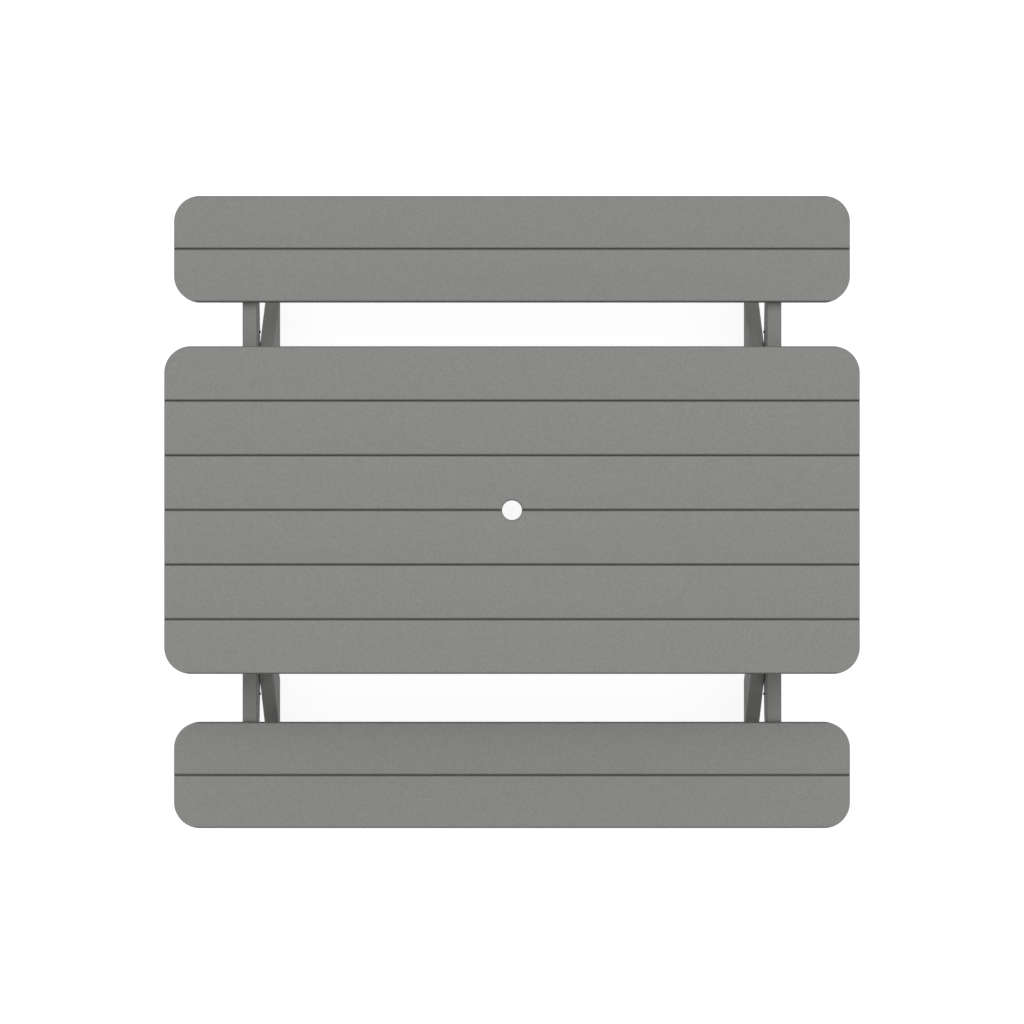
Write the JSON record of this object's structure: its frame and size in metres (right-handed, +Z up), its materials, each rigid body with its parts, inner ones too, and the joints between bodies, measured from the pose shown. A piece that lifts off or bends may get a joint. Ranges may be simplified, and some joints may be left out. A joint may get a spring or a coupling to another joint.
{
  "type": "picnic table",
  "caption": "Grey recycled-plastic lumber picnic table with splayed bolted end frames, fixed bench seats, rounded corners and a central umbrella hole.",
  "frame": {"origin": "on the ground, under the middle of the table top and of the umbrella hole", "axes": "+X along the boards, +Y across the table towards the back bench, +Z up"},
  "size_m": [1.778, 1.6634, 0.7493],
  "materials": {
    "board_lumber": "mid-grey recycled-plastic lumber, fine stippled skin, matt, eased edges",
    "frame_lumber": "mid-grey recycled-plastic lumber, fine stippled skin, matt, sawn ends",
    "black_steel": "black-coated steel, satin"
  },
  "bodies": {
    "root": {"beam_bolt_inner_left_back": "black_steel", "beam_bolt_inner_left_front": "black_steel", "beam_bolt_inner_right_back": "black_steel", "beam_bolt_inner_right_front": "black_steel", "beam_bolt_outer_left_back": "black_steel", "beam_bolt_outer_left_front": "black_steel", "beam_bolt_outer_right_back": "black_steel", "beam_bolt_outer_right_front": "black_steel", "beam_screw_left_back": "black_steel", "beam_screw_left_front": "black_steel", "beam_screw_right_back": "black_steel", "beam_screw_right_front": "black_steel", "bench_board_back_inner": "board_lumber", "bench_board_back_outer": "board_lumber", "bench_board_front_inner": "board_lumber", "bench_board_front_outer": "board_lumber", "bench_bolt_left_back": "black_steel", "bench_bolt_left_front": "black_steel", "bench_bolt_right_back": "black_steel", "bench_bolt_right_front": "black_steel", "bench_cleat_left_back": "frame_lumber", "bench_cleat_left_front": "frame_lumber", "bench_cleat_middle_back": "frame_lumber", "bench_cleat_middle_front": "frame_lumber", "bench_cleat_right_back": "frame_lumber", "bench_cleat_right_front": "frame_lumber", "brace_bolt_left_lower": "black_steel", "brace_bolt_left_upper": "black_steel", "brace_bolt_right_lower": "black_steel", "brace_bolt_right_upper": "black_steel", "brace_left": "frame_lumber", "brace_right": "frame_lumber", "brace_saddle_left_lower": "black_steel", "brace_saddle_left_upper": "black_steel", "brace_saddle_right_lower": "black_steel", "brace_saddle_right_upper": "black_steel", "leg_left_back": "frame_lumber", "leg_left_front": "frame_lumber", "leg_right_back": "frame_lumber", "leg_right_front": "frame_lumber", "seat_beam_left": "frame_lumber", "seat_beam_right": "frame_lumber", "top_board_1": "board_lumber", "top_board_2": "board_lumber", "top_board_3": "board_lumber", "top_board_4": "board_lumber", "top_board_5": "board_lumber", "top_board_6": "board_lumber", "top_bolt_inner_left_back": "black_steel", "top_bolt_inner_left_front": "black_steel", "top_bolt_inner_right_back": "black_steel", "top_bolt_inner_right_front": "black_steel", "top_bolt_outer_left_back": "black_steel", "top_bolt_outer_left_front": "black_steel", "top_bolt_outer_right_back": "black_steel", "top_bolt_outer_right_front": "black_steel", "top_cleat_end_left": "frame_lumber", "top_cleat_end_right": "frame_lumber", "top_cleat_middle_left": "frame_lumber", "top_cleat_middle_right": "frame_lumber"}
  },
  "joints": []
}
